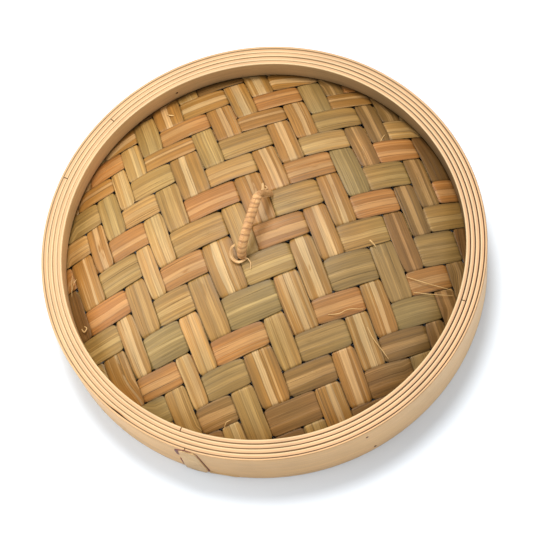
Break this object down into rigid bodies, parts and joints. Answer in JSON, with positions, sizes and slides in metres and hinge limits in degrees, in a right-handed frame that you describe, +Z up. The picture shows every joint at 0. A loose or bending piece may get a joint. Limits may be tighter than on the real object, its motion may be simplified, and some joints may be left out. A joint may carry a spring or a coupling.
{
  "type": "bamboo steamer lid",
  "caption": "Round bamboo steamer lid with a rim of nested bent hoops, a domed twill-woven strip cover and a cane-wrapped loop handle; it drops over a basket's collar.",
  "frame": {"origin": "centre of the circle that the rim's bottom edge lies on", "axes": "+Z up through the crown; +X and +Y along the two families of woven strips; the laced seam is in the -X -Y quarter"},
  "size_m": [0.254, 0.254, 0.0802],
  "materials": {
    "bamboo_band": "smooth pale bamboo skin, satin",
    "bamboo_ply": "pale split bamboo, cut edges, satin",
    "bamboo_hoop": "split bamboo, satin",
    "bamboo_peg": "dark bamboo peg, matt",
    "bamboo_lacing": "bamboo splint, satin",
    "cane_core": "rattan cane, satin",
    "cane_wrap": "wound rattan strip, satin",
    "strip_brown": "bamboo strip, satin",
    "strip_amber": "bamboo strip, satin",
    "strip_straw": "bamboo strip, satin",
    "strip_olive": "bamboo strip, satin",
    "strip_orange": "bamboo strip, satin"
  },
  "bodies": {
    "root": {"outer_band": "bamboo_band", "rim_ply_outer": "bamboo_ply", "rim_ply_middle": "bamboo_ply", "rim_ply_inner": "bamboo_ply", "upper_hoop": "bamboo_hoop", "lower_hoop": "bamboo_hoop", "rim_pegs": "bamboo_peg", "lacing_strip": "bamboo_lacing", "handle_core": "cane_core", "handle_wrap": "cane_wrap", "handle_hitch_pegs": "bamboo_peg", "weft_01": "strip_brown", "weft_02": "strip_brown", "weft_03": "strip_brown", "weft_04": "strip_olive", "weft_05": "strip_orange", "weft_06": "strip_olive", "weft_07": "strip_olive", "weft_08": "strip_orange", "weft_09": "strip_olive", "weft_10": "strip_orange", "weft_11": "strip_straw", "weft_12": "strip_olive", "weft_13": "strip_amber", "weft_14": "strip_orange", "weft_15": "strip_amber", "weft_16": "strip_brown", "warp_01": "strip_brown", "warp_02": "strip_brown", "warp_03": "strip_amber", "warp_04": "strip_olive", "warp_05": "strip_straw", "warp_06": "strip_amber", "warp_07": "strip_olive", "warp_08": "strip_amber", "warp_09": "strip_olive", "warp_10": "strip_straw", "warp_11": "strip_amber", "warp_12": "strip_amber", "warp_13": "strip_amber", "warp_14": "strip_olive", "warp_15": "strip_olive", "warp_16": "strip_amber", "warp_17": "strip_olive", "warp_18": "strip_brown"}
  },
  "joints": []
}
